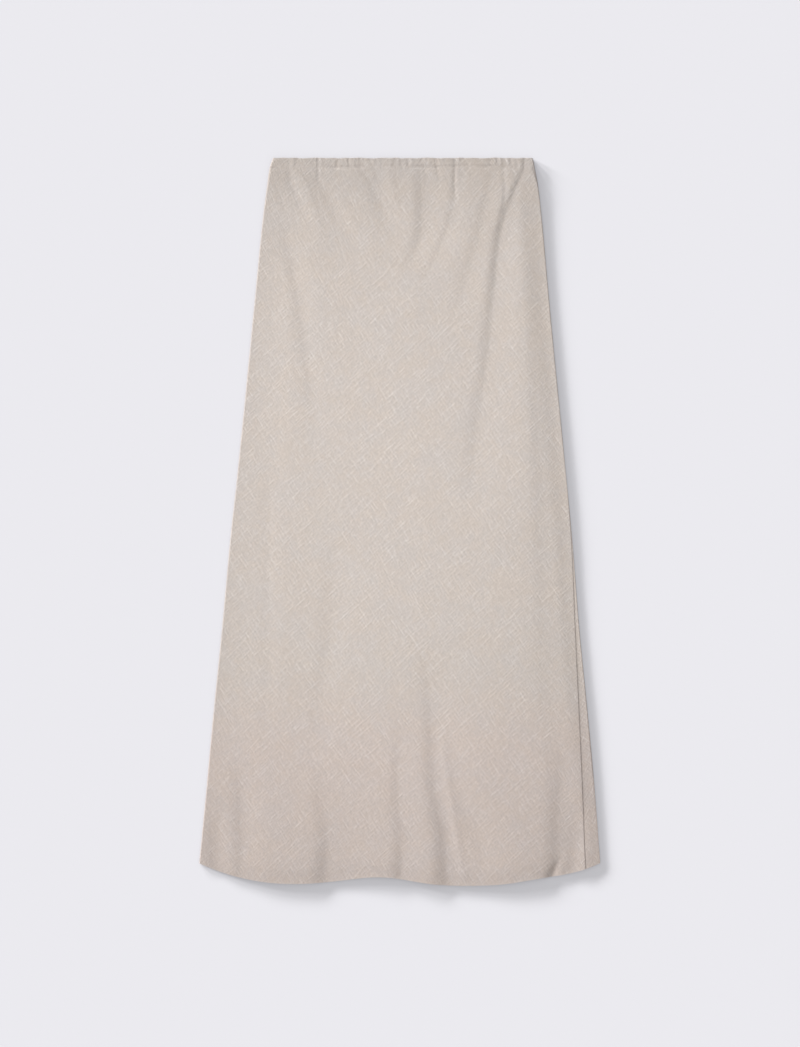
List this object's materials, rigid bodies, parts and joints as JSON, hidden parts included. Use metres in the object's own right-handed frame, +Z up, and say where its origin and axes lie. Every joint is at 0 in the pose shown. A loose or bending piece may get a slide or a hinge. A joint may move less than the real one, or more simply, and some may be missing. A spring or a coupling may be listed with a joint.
{
  "type": "midi skirt laid flat",
  "caption": "Bias-cut linen-look midi skirt with a narrow elasticated waist and a softly fluted hem, laid flat, front up.",
  "frame": {"origin": "centre of the footprint, on the surface that the skirt lies on", "axes": "+Y from the hem to the waist, +X across to the side whose seam has rolled to the front, +Z up out of the surface"},
  "size_m": [0.4804, 0.8751, 0.009],
  "materials": {
    "front_panel": "matt slubbed plain weave on the bias",
    "back_panel": "matt slubbed plain weave on the bias",
    "casing_front": "matt slubbed plain weave, shirred",
    "casing_back": "matt slubbed plain weave, shirred",
    "waist_elastic": "matt woven elastic"
  },
  "bodies": {
    "root": {"front_panel": "front_panel", "back_panel": "back_panel", "casing_front": "casing_front", "casing_back": "casing_back", "waist_elastic": "waist_elastic"}
  },
  "joints": []
}
